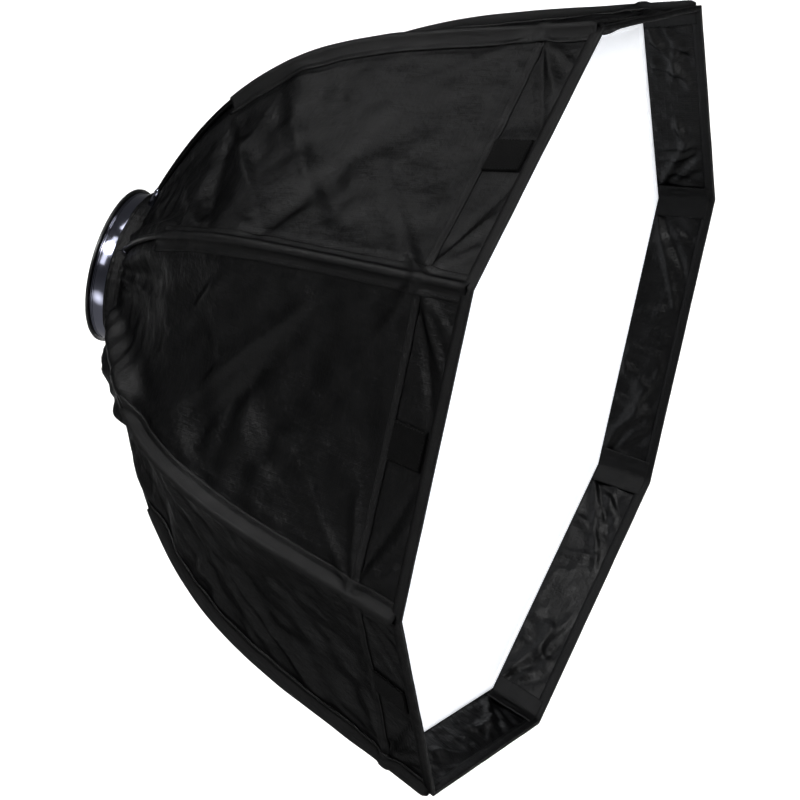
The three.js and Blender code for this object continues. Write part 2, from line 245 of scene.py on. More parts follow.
def turned_object(name, outline, material, radius):
    """Ring turned about the Y axis from a closed (r, y) outline with softened corners."""
    segments = 144
    profile = rounded(outline, radius)
    turns = np.arange(segments) * 2 * math.pi / segments
    points = np.stack([place(profile[:, 0], 0, profile[:, 1], turn) for turn in turns])
    count = len(profile)
    faces = []
    for i in range(segments):
        for j in range(count):
            a, b = i * count, ((i + 1) % segments) * count
            k = (j + 1) % count
            faces.append((a + j, b + j, b + k, a + k))
    obj = make_object(name, points, faces, material)
    recalculate(obj)
    return obj


def recalculate(obj):
    """Turn all faces outwards."""
    work = bmesh.new()
    work.from_mesh(obj.data)
    bmesh.ops.recalc_face_normals(work, faces=work.faces)
    work.to_mesh(obj.data)
    work.free()


def along_row(s, run, table):
    """Rows of a table of vectors read at distances s along a line."""
    return np.stack([np.interp(s, run, table[:, k]) for k in range(3)], -1)


def stitches(name, lines, spacing=3.4 * MM, length=2.3 * MM):
    """Rows of thread stitches on the box. A line is (points, normals), a stitch a small lens of thread."""
    width, high, sunk = 0.55 * MM, 0.3 * MM, 0.1 * MM
    corners = ((1, 2), (2, 3), (3, 4), (4, 1))
    vertices, faces = [], []
    for points, normals in lines:
        run = running_length(points)
        count = int(run[-1] / spacing)
        middles = (np.arange(count) + 0.5) * run[-1] / count
        start = along_row(middles - length / 2, run, points)
        end = along_row(middles + length / 2, run, points)
        normal = along_row(middles, run, normals)
        normal /= np.linalg.norm(normal, axis=1, keepdims=True)
        forward = end - start
        forward /= np.maximum(np.linalg.norm(forward, axis=1, keepdims=True), 1e-9)
        side = np.cross(forward, normal)
        middle = (start + end) / 2
        for m, s, e, n, w in zip(middle, start, end, normal, side):
            b = len(vertices)
            vertices += [s - n * sunk, m + w * width / 2, m + n * high, m - w * width / 2,
                         m - n * high / 2, e - n * sunk]
            faces += [(b, b + i, b + j) for i, j in corners]
            faces += [(b + 5, b + j, b + i) for i, j in corners]
    obj = make_object(name, np.array(vertices), faces, THREAD)
    recalculate(obj)
    attach(obj, "box")


# ---- Materials ----


def triple(value):
    """Three equal values from one, or the three given."""
    return value if isinstance(value, tuple) else (value,) * 3


class Nodes:
    """A material's node tree, on the cloth's own UVs or on object coordinates, both in metres."""

    def __init__(self, name, uv=True):
        self.uv = uv
        self.material = bpy.data.materials.new(name)
        self.material.use_nodes = True
        self.tree = self.material.node_tree
        self.shader = self.tree.nodes["Principled BSDF"]

    def add(self, kind, inputs=None, **settings):
        node = self.tree.nodes.new(kind)
        for key, value in settings.items():
            setattr(node, key, value)
        for key, value in (inputs or {}).items():
            node.inputs[key].default_value = value
        return node

    def link(self, source, target):
        self.tree.links.new(source, target)

    def math(self, operation, a, b):
        node = self.add("ShaderNodeMath", operation=operation)
        for socket, value in zip(node.inputs, (a, b)):
            if isinstance(value, (int, float)):
                socket.default_value = value
            else:
                self.link(value, socket)
        return node.outputs[0]

    def coords(self, scale):
        if self.uv:
            place_at = self.add("ShaderNodeUVMap", uv_map="cut").outputs["UV"]
        else:
            place_at = self.add("ShaderNodeTexCoord").outputs["Object"]
        mapping = self.add("ShaderNodeMapping", {"Scale": triple(scale)})
        self.link(place_at, mapping.inputs["Vector"])
        return mapping.outputs["Vector"]

    def noise(self, scale, detail, roughness=0.5):
        node = self.add("ShaderNodeTexNoise", {"Scale": 1.0, "Detail": detail, "Roughness": roughness})
        self.link(self.coords(scale), node.inputs["Vector"])
        return node.outputs["Fac"]

    def wave(self, scale, direction):
        node = self.add("ShaderNodeTexWave", {"Scale": 1.0}, wave_type="BANDS", bands_direction=direction)
        self.link(self.coords(scale), node.inputs["Vector"])
        return node.outputs["Fac"]

    def ramp(self, value, low, high, from_low=0.0, from_high=1.0):
        node = self.add("ShaderNodeMapRange", {
            "From Min": from_low, "From Max": from_high, "To Min": low, "To Max": high})
        self.link(value, node.inputs["Value"])
        return node.outputs["Result"]

    def mix(self, value, low, high):
        """Base colour between two colours or greys."""
        ends = {"A": (*triple(low), 1), "B": (*triple(high), 1)}
        node = self.add("ShaderNodeMix", ends, data_type="RGBA")
        self.link(value, node.inputs["Factor"])
        self.link(node.outputs["Result"], self.shader.inputs["Base Color"])

    def bump(self, height, distance, strength=1.0, under=None):
        """Relief on the shader's normal, over an earlier relief where one is given."""
        node = self.add("ShaderNodeBump", {"Strength": strength, "Distance": distance})
        self.link(height, node.inputs["Height"])
        if under is not None:
            self.link(under, node.inputs["Normal"])
        self.link(node.outputs["Normal"], self.shader.inputs["Normal"])
        return node.outputs["Normal"]

    def gloss(self, facing, grazing, lost=0.72):
        """Specular level that drops towards the silhouette, as threads hide each other there."""
        node = self.add("ShaderNodeLayerWeight", {"Blend": 0.5})
        level = self.shader.inputs["Specular IOR Level"]
        level.default_value = facing
        self.link(self.ramp(node.outputs["Facing"], facing, grazing, 0.25, lost), level)

    def rough(self, value, low, high, from_low=0.0, from_high=1.0):
        self.link(self.ramp(value, low, high, from_low, from_high), self.shader.inputs["Roughness"])

    def set(self, **values):
        for key, value in values.items():
            self.shader.inputs[key.replace("_", " ")].default_value = value


# A wave texture repeats every 2 pi / 20 units of its coordinate.
WAVE = 2 * math.pi / 20


def per(length):
    """Texture scale that repeats a wave once in each length, in metres."""
    return WAVE / length


def woven_cloth(name, dark, light, rough, ripstop=True, crumple=1.3 * MM):
    """Plain weave, with thicker threads at ripstop bars, over fine crumples and streaks."""
    thread, bar = 0.45 * MM, 5 * MM
    n = Nodes(name)
    n.mix(n.noise(28, 4), dark, light)
    n.rough(n.noise(55, 3), rough - 0.08, rough + 0.08, 0.3, 0.7)
    under = n.bump(n.noise(95, 5, roughness=0.55), crumple)
    under = n.bump(n.noise((16, 110, 20), 3), 0.16 * MM, 1.0, under)
    warp = n.wave((per(thread), 1, 1), "X")
    weft = n.wave((1, per(thread), 1), "Y")
    height = n.math("MULTIPLY", warp, weft)
    if ripstop:
        bars = []
        for scale, direction in (((per(bar), 1, 1), "X"), ((1, per(bar), 1), "Y")):
            bars.append(n.ramp(n.wave(scale, direction), 0, 1.2, 0.93, 1.0))
        height = n.math("ADD", height, n.math("MAXIMUM", *bars))
    n.bump(height, 0.06 * MM, 0.8, under)
    return n


cloth = woven_cloth("black_ripstop_cloth", (0.0008, 0.0008, 0.0009), (0.0022, 0.0022, 0.0024), 0.37)
cloth.gloss(0.15, 0.008)
RIPSTOP = cloth.material

cloth = woven_cloth("black_lip_cloth", (0.0012, 0.0012, 0.0014), (0.0028, 0.0028, 0.003), 0.36)
cloth.gloss(0.23, 0.015, 0.68)
LIP_CLOTH = cloth.material

cloth = woven_cloth("silver_lining_cloth", (0.62, 0.63, 0.65), (0.74, 0.75, 0.77), 0.36,
                    crumple=0.5 * MM)
cloth.set(Metallic=0.85)
SILVER = cloth.material

tape = Nodes("black_webbing_tape")
tape.mix(tape.noise(40, 4), (0.0015, 0.0015, 0.0016), (0.004, 0.004, 0.0042))
tape.rough(tape.noise(70, 3), 0.42, 0.56, 0.3, 0.7)
ribs = tape.wave((per(0.9 * MM), 1, 1), "X")
threads = tape.wave((1, per(0.5 * MM), 1), "Y")
tape.bump(tape.math("ADD", ribs, tape.math("MULTIPLY", threads, 0.5)), 0.09 * MM)
tape.gloss(0.2, 0.014)
TAPE = tape.material

hook = Nodes("black_hook_tape", uv=False)
hook.mix(hook.noise(600, 2), 0.0015, 0.004)
cell = hook.add("ShaderNodeTexVoronoi", {"Scale": 1.0})
hook.link(hook.coords(1100), cell.inputs["Vector"])
hook.bump(cell.outputs["Distance"], 0.35 * MM)
hook.set(Roughness=0.95, Specular_IOR_Level=0.1)
HOOK = hook.material

# The white cloth's glow stands for the light that comes through it from the white surroundings.
cloth = woven_cloth("white_diffusion_cloth", (0.9, 0.925, 0.965), (0.93, 0.945, 0.975), 0.8,
                    ripstop=False, crumple=0.12 * MM)
cloth.set(Specular_IOR_Level=0.2, Sheen_Weight=0.1)
cloth.set(Emission_Color=(0.94, 0.96, 1.0, 1), Emission_Strength=0.56)
WHITE = cloth.material

thread = Nodes("black_thread", uv=False)
thread.mix(thread.noise(900, 2), 0.0025, 0.006)
thread.bump(thread.wave(per(0.35 * MM), "DIAGONAL"), 0.05 * MM)
thread.set(Roughness=0.7, Specular_IOR_Level=0.25)
THREAD = thread.material

rod = Nodes("dark_spring_rod", uv=False)
rod.mix(rod.noise(300, 3), 0.001, 0.003)
rod.rough(rod.noise(400, 3), 0.3, 0.42)
rod.bump(rod.noise(1500, 2), 0.02 * MM)
rod.set(Specular_IOR_Level=0.03)
ROD = rod.material

metal = Nodes("black_anodised_metal", uv=False)
metal.mix(metal.noise(90, 4), (0.006, 0.006, 0.0065), (0.012, 0.012, 0.013))
metal.rough(metal.noise(160, 4), 0.3, 0.46)
metal.bump(metal.noise(2200, 2), 0.015 * MM)
metal.set(Metallic=0.3)
BLACK_METAL = metal.material

polished = Nodes("polished_aluminium", uv=False)
polished.mix(polished.noise(60, 3), (0.13, 0.135, 0.175), (0.17, 0.175, 0.215))
turning_lines = polished.noise((20, 5200, 20), 2)
polished.rough(turning_lines, 0.06, 0.17)
polished.bump(turning_lines, 0.004 * MM)
polished.set(Metallic=1.0)
POLISHED = polished.material

rubber = Nodes("grip_rubber", uv=False)
rubber.mix(rubber.noise(200, 3), 0.012, 0.022)
rubber.bump(rubber.wave((1, per(2.4 * MM), 1), "Y"), 0.3 * MM)
rubber.set(Roughness=0.85)
RUBBER = rubber.material

plastic = Nodes("bearing_plastic", uv=False)
plastic.mix(plastic.noise(80, 3), (0.55, 0.55, 0.52), (0.62, 0.62, 0.59))
plastic.bump(plastic.noise(900, 2), 0.02 * MM)
plastic.set(Roughness=0.5)
PLASTIC = plastic.material


# ---- Shell panels ----

WING = 11.5 * MM  # Width of a sleeve's sewn wing on each panel.
NECK_T = t_at_y(NECK_REAR_Y - 2.5 * MM)
SEAM_T = t_at_y(SEAM_Y)
FRONT_T = t_at_y(EDGE_Y)
ROUND_UNTIL_T = 0.07  # From round at the ring to flat-sided here.
PATCH_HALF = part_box("grid_patch_1")[1][0]
DIP = 8 * MM  # How far a panel's middle sags between its rods.
LIP_WIDTH = 43 * MM


def panel_folds(number):
    """Random folds of one panel: folds, fans by the neck, pulls at the lip's corners and creases.

    A fold is (place, width, height, skew, bow, middle), a fan is (place, width, height, reach), a pull
    is (side, angle, width, height, reach) and a crease is (place, slope, shift, height).
    """
    source = np.random.default_rng(100 + number)
    draw = source.uniform
    bands = [(0.030 + 0.017 * i + draw(-0.004, 0.004), draw(0.0045, 0.0075),
              draw(0.6, 1.0) * (5.0 - 0.55 * i) * MM, draw(-0.22, 0.22), draw(-0.3, 0.3),
              draw(-0.5, 0.5)) for i in range(7)]
    wide = [(draw(0.08, 0.33), draw(0.008, 0.018), source.choice((-1, 1)) * draw(2, 4) * MM,
             draw(-0.8, 0.8), draw(-0.25, 0.25), draw(-0.6, 0.6)) for _ in range(9)]
    fan = [(draw(-0.8, 0.8), draw(0.06, 0.14), draw(-1, 1) * 3.0 * MM, draw(0.04, 0.12))
           for _ in range(9)]
    pulls = [(side, draw(0.15, 1.2), draw(0.003, 0.006), draw(1.0, 2.2) * MM, draw(0.02, 0.06))
             for side in (-1, 1) for _ in range(4)]
    side = source.choice((-1, 1))
    for i in range(3):
        wide.append((0.10 + 0.075 * i + draw(-0.01, 0.01), draw(0.006, 0.009), draw(2.0, 3.2) * MM,
                     side * draw(0.7, 1.1), draw(-0.1, 0.1), draw(-0.3, 0.3)))
    creases = [(draw(0.05, 0.3), draw(-1.2, 1.2), draw(-0.05, 0.05), draw(0.3, 0.6) * MM)
               for _ in range(5)]
    return bands + wide, fan, pulls, creases


FOLDS = [panel_folds(k) for k in range(SIDES)]
SWELL = np.array([5, 6, 5, 6, 7, 11, 4.5, 3]) * MM  # Beside rods 1 to 8.
CUFF_T = t_at_y(SLEEVE_REAR_Y)
CUFF_S = arc_length(CUFF_T)
SEAM_S = arc_length(SEAM_T)


def neck_gather(angle):
    """Pleats of the cloth round the neck, about -1 to 1."""
    return 0.6 * value_noise(angle * 30 / math.pi, angle * 0, 70) + 0.4 * np.sin(angle * 56)


def panel_relief(number, s, v, half_width):
    """Height of the cloth's folds above its smooth shape, s along the panel and v in -1..1 across."""
    folds, fan, pulls, creases = FOLDS[number]
    x = v * half_width
    edge = half_width - np.abs(x)
    held = (1 - np.abs(v) ** 6) * smooth(0.0, 0.03, s) * (1 - smooth(SEAM_S - 0.02, SEAM_S, s))
    height = 0 * x
    for at, width, high, skew, bow, middle in folds:
        line = at + skew * x + bow * x * x / np.maximum(half_width, 0.02)
        reach = bump((v - middle) / 0.75)
        height += 1.35 * high * bump((s - line) / width) * reach
    height = height * (0.7 + 0.45 * value_noise(x * 16 + number * 7, s * 20, 31))
    for at, width, high, reach in fan:
        height += high * bump((v - at) / width) * np.exp(-np.maximum(s, 0) / reach)
    height += 2.6 * MM * value_noise(x * 13 + 11 * number, s * 9, 5)
    height += 1.5 * MM * value_noise(x * 30 + 3 * number + s * 22, s * 24, 6)
    height += 1.1 * MM * value_noise(x * 62 + number - s * 30, s * 50 + x * 20, 7)
    for at, slope, shift, high in creases:
        off = (s - at - slope * (x - shift)) / math.hypot(1, slope)
        height += high * bump(off / 0.0016) * (0.5 + 0.5 * value_noise(s * 14, x * 14, 77 + number))
    height = height * held
    # Loose cloth swells out on both sides of the bare rod between the ring and the sleeve's cuff.
    bare = smooth(0.010, 0.035, s) * (1 - smooth(CUFF_S - 0.012, CUFF_S + 0.03, s))
    swell = bump((edge - 0.012) / 0.010) * (1 + 0.12 * value_noise(s * 45, np.sign(x) * 5 + number, 33))
    beside = np.where(x > 0, SWELL[number], SWELL[number - 1])
    height += beside * swell * bare
    # Pleats from the gathered neck.
    pleat = neck_gather(number * STEP + v * HALF)
    reach = np.exp(-np.maximum(s, 0) / 0.04) * (1 - np.abs(v) ** 8)
    height += pleat * (0.4 + 1.3 * smooth(0, 0.02, s)) * reach * MM
    # A groove where the cloth runs under a sleeve's edge, and puckers beside it.
    sewn = smooth(CUFF_S, CUFF_S + 0.01, s)
    groove = -0.7 * bump((edge - WING - 1.2 * MM) / (2.0 * MM))
    groove = groove + 0.4 * bump((edge - WING - 7 * MM) / (4 * MM))
    height += groove * MM * sewn
    pucker = value_noise((s + 0.5 * edge) * 95, np.sign(x) * 3 + number, 9)
    strength = np.clip(value_noise(s * 16, np.sign(x) * 3, 10 + number) + 0.35, 0, 1)
    height += 0.9 * MM * bump((edge - WING - 9 * MM) / 0.008) * pucker * strength * sewn
    # Ripples along the lip's seam and pulls that run back from its corners.
    lip_gap = np.abs(s - SEAM_S)
    ripple = value_noise(x * 75, s * 0 + number, 12)
    height += 0.8 * MM * np.exp(-lip_gap / 0.011) * ripple * (1 - np.abs(v) ** 8)
    for side, angle, width, high, reach in pulls:
        dx, ds = (side * half_width - x) * side, SEAM_S - s
        off = dx * math.sin(angle) - ds * math.cos(angle)
        along = dx * math.cos(angle) + ds * math.sin(angle)
        fade = np.exp(-np.abs(along) / reach) * (along > 0) * (dx > 0)
        height += high * bump(off / width) * fade
    # Loose cloth between the lip seam and the front edge, tight under the hook patch.
    lip = smooth(SEAM_S, SEAM_S + 0.006, s) * (1 - smooth(SEAM_S + 0.030, SEAM_S + 0.040, s))
    ramp = s - SEAM_S - 0.02
    drape = 0 * x
    drapes = ((0.022, 0.9, 0.0045, 2.4), (0.038, 1.7, 0.006, 3.0), (0.060, 2.4, 0.007, -2.2))
    for side in (-1, 1):
        for start, lean, width, high in drapes:
            drape = drape + high * MM * bump((x * side - half_width + start + lean * ramp) / width)
    slack = 1.3 * MM * value_noise(x * 32 + number, s * 16, 14) - 0.3 * MM + drape
    off_patch = smooth(PATCH_HALF, PATCH_HALF + 0.012, np.abs(x))
    return height + lip * slack * (1 - np.abs(v) ** 10) * off_patch


def panel_points(number, t, v, lift=0.0, depth=None):
    """Points, normals and UVs of a panel's outer side for rows t and columns v in -1..1."""
    t, v = np.broadcast_arrays(np.asarray(t, float)[..., None] if np.ndim(t) == 1 else t, v)
    raised = 0.45 * MM * (1 - smooth(0.2, 0.3, t))  # Beside the bare rods, the cloth lies closer to them.
    corner, tangent = layer(t, CLOTH_DEPTH - raised if depth is None else depth)
    rho, y = corner[..., 0], corner[..., 1]
    rho = np.where(t < 0, np.maximum(rho, NECK_R + 0.2 * MM), rho)
    flatness = smooth(0.0, ROUND_UNTIL_T, t)
    half_width = rho * math.sin(HALF)
    phi = v * HALF
    across = flatness * v * half_width + (1 - flatness) * rho * np.sin(phi)
    radial = flatness * rho * math.cos(HALF) + (1 - flatness) * rho * np.cos(phi)
    s = arc_length(t)
    dip = DIP * np.sin(math.pi * np.clip(t, 0, 1) ** 0.8) ** 0.9
    n_a, n_y = -tangent[..., 1], math.cos(HALF) * tangent[..., 0]
    size = np.sqrt(n_a**2 + n_y**2)
    n_a, n_y = n_a / size, n_y / size
    height = panel_relief(number, s, v, half_width) - dip * (1 - v * v) + lift
    angle = number * STEP
    points = place(radial + n_a * height, across, y + n_y * height, angle)
    normals = place(n_a, 0 * n_a, n_y, angle)
    uvs = np.stack([s, v * half_width], -1)
    return points, normals, uvs


def side_panels():
    """Eight panels from the neck to the front edge, a hair apart under the sleeves."""
    t = np.concatenate([np.linspace(NECK_T, 0, 6)[:-1], np.linspace(0, 1, 150) ** 0.85 * FRONT_T])
    v = np.linspace(-0.999, 0.999, 71)
    for k in range(SIDES):
        points, _, uvs = panel_points(k, t, v)
        cloth_piece(f"shell_panel_{k + 1}", points, uvs, [RIPSTOP, SILVER], 0.5 * MM,
                    f"side_panel_{k + 1}")


# ---- Rod sleeves ----

# Cross-section of a wing from its edge to the arch: share of its width, and height above the panel.
WING_REACHES = np.array([1.0, 0.98, 0.92, 0.8, 0.62, 0.5]) * WING
WING_LIFTS = np.array([-0.4, 1.1, 1.5, 1.05, 0.9, 0.8]) * 0.8 * MM
ARCH_ANGLES = np.radians([-72, -52, -32, -12, 12, 32, 52, 72])
ARCH = slice(len(WING_REACHES), len(WING_REACHES) + len(ARCH_ANGLES))
THREAD_LIFT = 0.1 * MM


def corner_frame(t, angle):
    """Corner point, outward and sideways directions on a rod plane at parameters t."""
    corner, tangent = layer(t)
    outward = np.stack([-tangent[:, 1], tangent[:, 0]], -1)
    side = np.array([math.cos(angle), 0, -math.sin(angle)])
    point = place(corner[:, 0], 0, corner[:, 1], angle)
    out = place(outward[:, 0], 0, outward[:, 1], angle)
    return point, out, side


def sleeve_rows(number, t):
    """Cross-section rows of a sleeve: wings lie on the two panels, the middle arches over the rod."""
    angle = HALF + number * STEP
    point, out, side = corner_frame(t, angle)
    corner = layer(t)[0]
    half_width = corner[:, 0] * math.sin(HALF)
    rod = point + out * (CLOTH_DEPTH - ROD_DEPTH)
    columns, ups = [], []

    def wing(panel, v, lift):
        p, n, _ = panel_points(panel, t[:, None], v[:, None], lift)
        columns.append(p[:, 0])
        ups.append(n[:, 0])

    for reach, lift in zip(WING_REACHES, WING_LIFTS):
        wing(number, 1 - reach / half_width, lift)
    run = arc_length(t)
    end = np.clip((run[-1] - run) / (7 * MM), 0, 1)
    swell = (ROD_R + 1.15 * MM) * (0.35 + 0.65 * np.sqrt(end * (2 - end)))
    for a in ARCH_ANGLES:
        direction = out * math.cos(a) + side * math.sin(a)
        columns.append(rod + direction * swell[:, None])
        ups.append(direction)
    for reach, lift in zip(WING_REACHES[::-1], WING_LIFTS[::-1]):
        wing((number + 1) % SIDES, -1 + reach / half_width, lift)
    return np.stack(columns, 1), np.stack(ups, 1)


def rod_sleeves():
    """Tape over each rod from its cuff to the front, with a ridge where it crosses the lip's seam."""
    rows = 120
    t = np.linspace(CUFF_T, FRONT_T - 0.006, rows)
    s = arc_length(t)
    seam = 1.5 * MM * bump(((s - SEAM_S) / (4.2 * MM)) ** 3)
    lines = []
    for k in range(SIDES):
        points, ups = sleeve_rows(k, t)
        middle = 0.35 * MM * value_noise(s * 45, s * 0 + k, 40 + k)
        points += ups * seam[:, None, None]
        points[:, ARCH] += ups[:, ARCH] * middle[:, None, None]
        uvs = uv_grid(s[:, None], running_length(points[rows // 2])[None])
        cloth_piece(f"sleeve_tape_{k + 1}", points, uvs, [TAPE], 0.6 * MM,
                    f"rod_sleeve_{k + 1}")
        for column in (3, -4):
            lines.append((points[:, column] + ups[:, column] * THREAD_LIFT, ups[:, column]))
    stitches("sleeve_stitching", lines)


# ---- Lip seam, edge binding, facing, pockets ----


def lip_seams():
    """Folded seam strip across each panel, where the diffuser's strip is sewn on behind."""
    lines = []
    v = np.linspace(-0.93, 0.93, 90)
    profile = [(-3.4, 0.0), (-2.9, 0.9), (-2.2, 1.1), (-1.2, 0.7)]  # (along, lift) in mm.
    profile += [(-along, lift) for along, lift in profile[::-1]]
    places = np.array([along for along, _ in profile])[:, None] * MM
    per_metre = FRONT_T / arc_length(FRONT_T)
    for k in range(SIDES):
        rows = []
        for along, lift in profile:
            t = SEAM_T + along * MM * per_metre
            p, n, _ = panel_points(k, np.full((1, len(v)), t), v[None], lift * MM)
            rows.append(p[0])
            if abs(along) == 1.2:
                lines.append((p[0] + n[0] * THREAD_LIFT / 2, n[0]))
        points = np.stack(rows, 0)
        width = np.linalg.norm(points[0, -1] - points[0, 0])
        uvs = uv_grid(places, v[None] * width / 2)
        cloth_piece(f"lip_seam_{k + 1}", points, uvs, [TAPE], 0.5 * MM)
    stitches("lip_seam_stitching", lines)


def octagon_row(r_corner, y, columns, seed=0, wobble=0.0):
    """Closed row of points round an octagon, with its corners on the rod planes."""
    rows = []
    for k in range(SIDES):
        v = np.arange(columns) / columns * 2 - 1
        across = v * r_corner * math.sin(HALF)
        radial = np.full(columns, r_corner * math.cos(HALF))
        radial = radial + wobble * value_noise(across * 40 + k * 9, across * 0 + seed, seed) * (1 - v**6)
        rows.append(place(radial, across, y, k * STEP))
    return np.concatenate(rows)


def lip_facing():
    """Crumpled inner cloth of the lip, from the diffuser's strip to the front edge."""
    columns, rows = 70, 26
    f = np.linspace(0, 1, rows)[:, None]
    rear, front = t_at_y(SEAM_Y, FACING_DEPTH), t_at_y(EDGE_Y + 0.5 * MM, FACING_DEPTH)
    t = rear + (front - rear) * f
    v = (np.arange(columns) / columns * 2 - 1)[None]
    half_width = layer(t, FACING_DEPTH)[0][..., 0] * math.sin(HALF)
    across = v * half_width
    free = smooth(0, 0.12, f) * (1 - smooth(0.68, 0.83, f)) * (1 - v ** 8)
    sides = []
    for k in range(SIDES):
        draw = np.random.default_rng(300 + k).uniform
        fold = 0 * across
        at = -0.105
        while at < 0.105:
            skew, width, high = draw(-0.7, 0.7), draw(0.003, 0.007), draw(1.0, 3.0) * MM
            fold += high * bump((across - at - skew * (f - 0.5) * LIP_WIDTH) / width)
            at += draw(0.012, 0.026)
        for _ in range(6):
            at, slope, high = draw(-0.09, 0.09), draw(-0.35, 0.35), draw(0.8, 2.0) * MM
            line = (f - 0.5) * LIP_WIDTH - slope * (across - at)
            fold += high * bump(line / 0.0035) * bump((across - at) / 0.02)
        for side in (-1, 1):
            for _ in range(2):
                start, lean = draw(0.012, 0.03), draw(0.5, 1.3)
                line = side * (half_width - start) - side * lean * f * LIP_WIDTH
                fold += draw(0.8, 1.8) * MM * bump((across - line) / 0.0035)
        fold += 1.6 * MM * value_noise(across * 42 + 5 * k, f * 2.4, 60 + k)
        fold += -0.8 * MM + 0.5 * MM * value_noise(across * 110, f * 5, 90 + k)
        inward = np.clip(fold, 0, 5 * MM) * free
        sides.append(panel_points(k, t, v, -inward, FACING_DEPTH)[0])
    points = np.concatenate(sides, 1)
    uvs = uv_grid(f * LIP_WIDTH, running_length(points[rows // 2])[None])
    cloth_piece("lip_inner_cloth", points, uvs, [LIP_CLOTH], 0.4 * MM, "lip_facing",
                wrap=True, flip=True)


def corner_pockets():
    """Bands of doubled cloth over the rod ends, bent into each corner of the lip."""
    reach, depth, bend = 15 * MM, 11.4 * MM, 3 * MM
    rows = 30
    t = np.linspace(t_at_y(SEAM_Y - 1.5 * MM, depth), t_at_y(EDGE_Y + 2 * MM, depth), rows)
    corner = layer(t, depth)[0]
    f = np.linspace(0, 1, rows)[:, None]
    x = np.linspace(-1, 1, 29)[None] * reach
    soft = np.sqrt(x * x + bend**2) - bend
    lines = []
    for k in range(SIDES):
        angle = HALF + k * STEP
        puff = 0.9 * MM * value_noise(x * 160 + k, f * 5, 80 + k) * np.sin(math.pi * f) ** 0.5
        tuck = 1.4 * MM * smooth(0.93, 1.0, np.abs(x) / reach)
        radial = corner[:, 0][:, None] - soft * math.tan(HALF) - 0.3 * MM - np.abs(puff) + tuck
        y = corner[:, 1][:, None] + 0 * x
        points = place(radial, x + 0 * radial, y, angle)
        uvs = uv_grid(f * LIP_WIDTH, x)
        cloth_piece(f"pocket_{k + 1}", points, uvs, [TAPE], 0.5 * MM,
                    f"corner_pocket_{k + 1}", flip=True)
        inward = place(np.full(rows, -1.0), 0, 0, angle)
        for column in (2, -3):
            lines.append((points[:, column] + inward * THREAD_LIFT, inward))
    stitches("pocket_stitching", lines)


def edge_binding():
    """Folded tape round the whole front edge, softly rounded, with a stitch row on each side."""
    columns = 60

    def at(depth, behind):
        return layer(t_at_y(EDGE_Y + behind * MM, depth), depth)[0]

    outer, inner = CLOTH_DEPTH - 1.4 * MM, 10.2 * MM
    a, b, c, d = at(outer, 8), at(outer, -0.2), at(inner, -0.2), at(inner, 6)
    legs = [a + (b - a) * f for f in (0.0, 0.12, 0.5, 0.85)]
    turn = []
    middle = (b + c) / 2
    for angle in np.linspace(0, math.pi, 7):
        across = (b - c) / 2 * math.cos(angle)
        turn.append(middle + across + np.array([0, -1.0]) * math.sin(angle) * 1.1 * MM)
    back = [c + (d - c) * f for f in (0.15, 0.5, 0.88, 1.0)]
    profile = np.array(legs + turn + back)
    profile[0] -= np.array([1.0 * MM, 0])
    profile[-1] += np.array([0.9 * MM, 0])
    points = np.stack([octagon_row(r, y, columns, 200, 0.35 * MM) for r, y in profile], 0)
    uvs = uv_grid(running_length(profile)[:, None], running_length(points[5])[None])
    cloth_piece("front_edge_binding", points, uvs, [TAPE], 0.5 * MM, "edge_binding",
                wrap=True)
    outward = np.concatenate([place(np.ones(columns), 0, 0, k * STEP) for k in range(SIDES)])
    stitches("edge_binding_stitching", [(points[2], outward), (points[-3], -outward)])


def loop_strip():
    """Strip that the front diffuser presses onto, sewn inside the shell behind the lip."""
    low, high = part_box("loop_strip")
    depth = 8.3 * MM
    columns, rows = 30, 5
    t = np.array([t_at_y(y, depth) for y in np.linspace(high[1], low[1], rows)])[:, None]
    v = (np.arange(columns) / columns * 2 - 1)[None]
    points = np.concatenate([panel_points(k, t, v, 0.0, depth)[0] for k in range(SIDES)], 1)
    uvs = uv_grid(np.linspace(0, 14 * MM, rows)[:, None], running_length(points[0])[None])
    cloth_piece("diffuser_loop_strip", points, uvs, [HOOK], 1.0 * MM, "loop_strip",
                wrap=True)


# ---- Neck hem ----


def neck_hem():
    """Cloth gathered round the rod ring by a drawcord in a rolled rear edge."""
    low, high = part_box("neck_hem")
    rear, front = high[1], low[1]
    angles = np.linspace(0, 2 * math.pi, 480, endpoint=False)[None]
    # (outwards, forwards) in mm from the hem's outer rear edge.
    profile = [(-1.6, 0.5), (-1.9, 0.1), (-1.5, -0.1), (-0.3, 0.0), (0.4, 1.2), (0.2, 2.6), (-0.6, 3.6),
               (-0.9, 5.0), (-0.7, 8.0), (-0.6, 11.0), (-0.7, 14.0)]
    rows = []
    gather = neck_gather(angles)
    for dr, dy in profile:
        r = NECK_R + (dr + 0.55 * gather * smooth(0, 3, dy) + 0.15 * gather) * MM
        y = rear - (dy + 0.3 * value_noise(angles * 9, angles * 0 + 2, 71)) * MM
        rows.append(np.stack([r * np.sin(angles), np.maximum(y, front), r * np.cos(angles)], -1)[0])
    points = np.stack(rows, 0)
    uvs = uv_grid(np.array([dy for _, dy in profile])[:, None] * MM, angles * NECK_R)
    cloth_piece("gathered_neck", points, uvs, [RIPSTOP], 0.4 * MM, "neck_hem", wrap=True)


# ---- Grid patches ----


